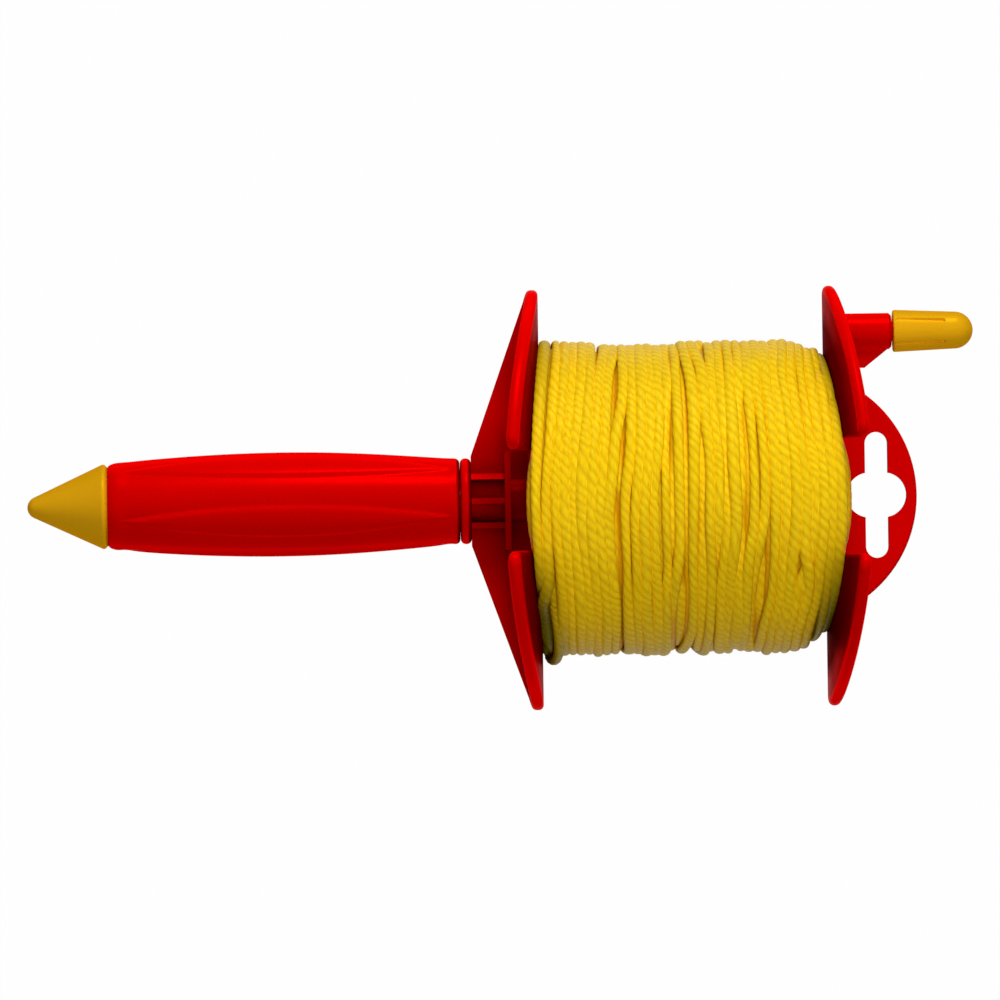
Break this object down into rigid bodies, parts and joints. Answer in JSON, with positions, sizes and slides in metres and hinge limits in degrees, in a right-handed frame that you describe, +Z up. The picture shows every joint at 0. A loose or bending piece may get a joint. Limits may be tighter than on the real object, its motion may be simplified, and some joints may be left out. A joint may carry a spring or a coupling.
{
  "type": "string line reel",
  "caption": "Hand reel for builder's string line: barrel grip turning on a spindle, flanged spool wound with yellow line, crank knob on a post and hanging tab.",
  "frame": {"origin": "on the spin axis, at the centre of the whole reel's box", "axes": "+X along the spin axis from the grip's cone to the crank knob; +Y to the crank post at rest; +Z up when the reel lies on its notches"},
  "size_m": [0.2408, 0.1066, 0.1018],
  "materials": {
    "red_plastic": "moulded, satin gloss",
    "yellow_plastic": "moulded, satin gloss",
    "bush_plastic": "moulded, natural",
    "steel": "bright zinc plate",
    "yellow_line": "three-strand twisted line"
  },
  "bodies": {
    "handle": {"grip": "red_plastic", "tip_cap": "yellow_plastic", "grip_bush": "bush_plastic"},
    "spool": {"spindle": "steel", "spindle_washer": "steel", "spindle_screw": "steel", "collar_ring": "red_plastic", "handle_frame": "red_plastic", "drum": "red_plastic", "drum_screws": "steel", "crank_frame": "red_plastic", "line_core": "yellow_line", "line_outer_layer": "yellow_line"},
    "crank_knob": {"knob": "yellow_plastic"}
  },
  "joints": [
    {"name": "spool_spin", "type": "hinge", "parent": "handle", "child": "spool", "pos_m": [0, 0, 0], "axis": [1, 0, 0], "continuous": true},
    {"name": "knob_spin", "type": "hinge", "parent": "spool", "child": "crank_knob", "pos_m": [0.1102, 0.0416, 0], "axis": [1, 0, 0], "continuous": true}
  ]
}
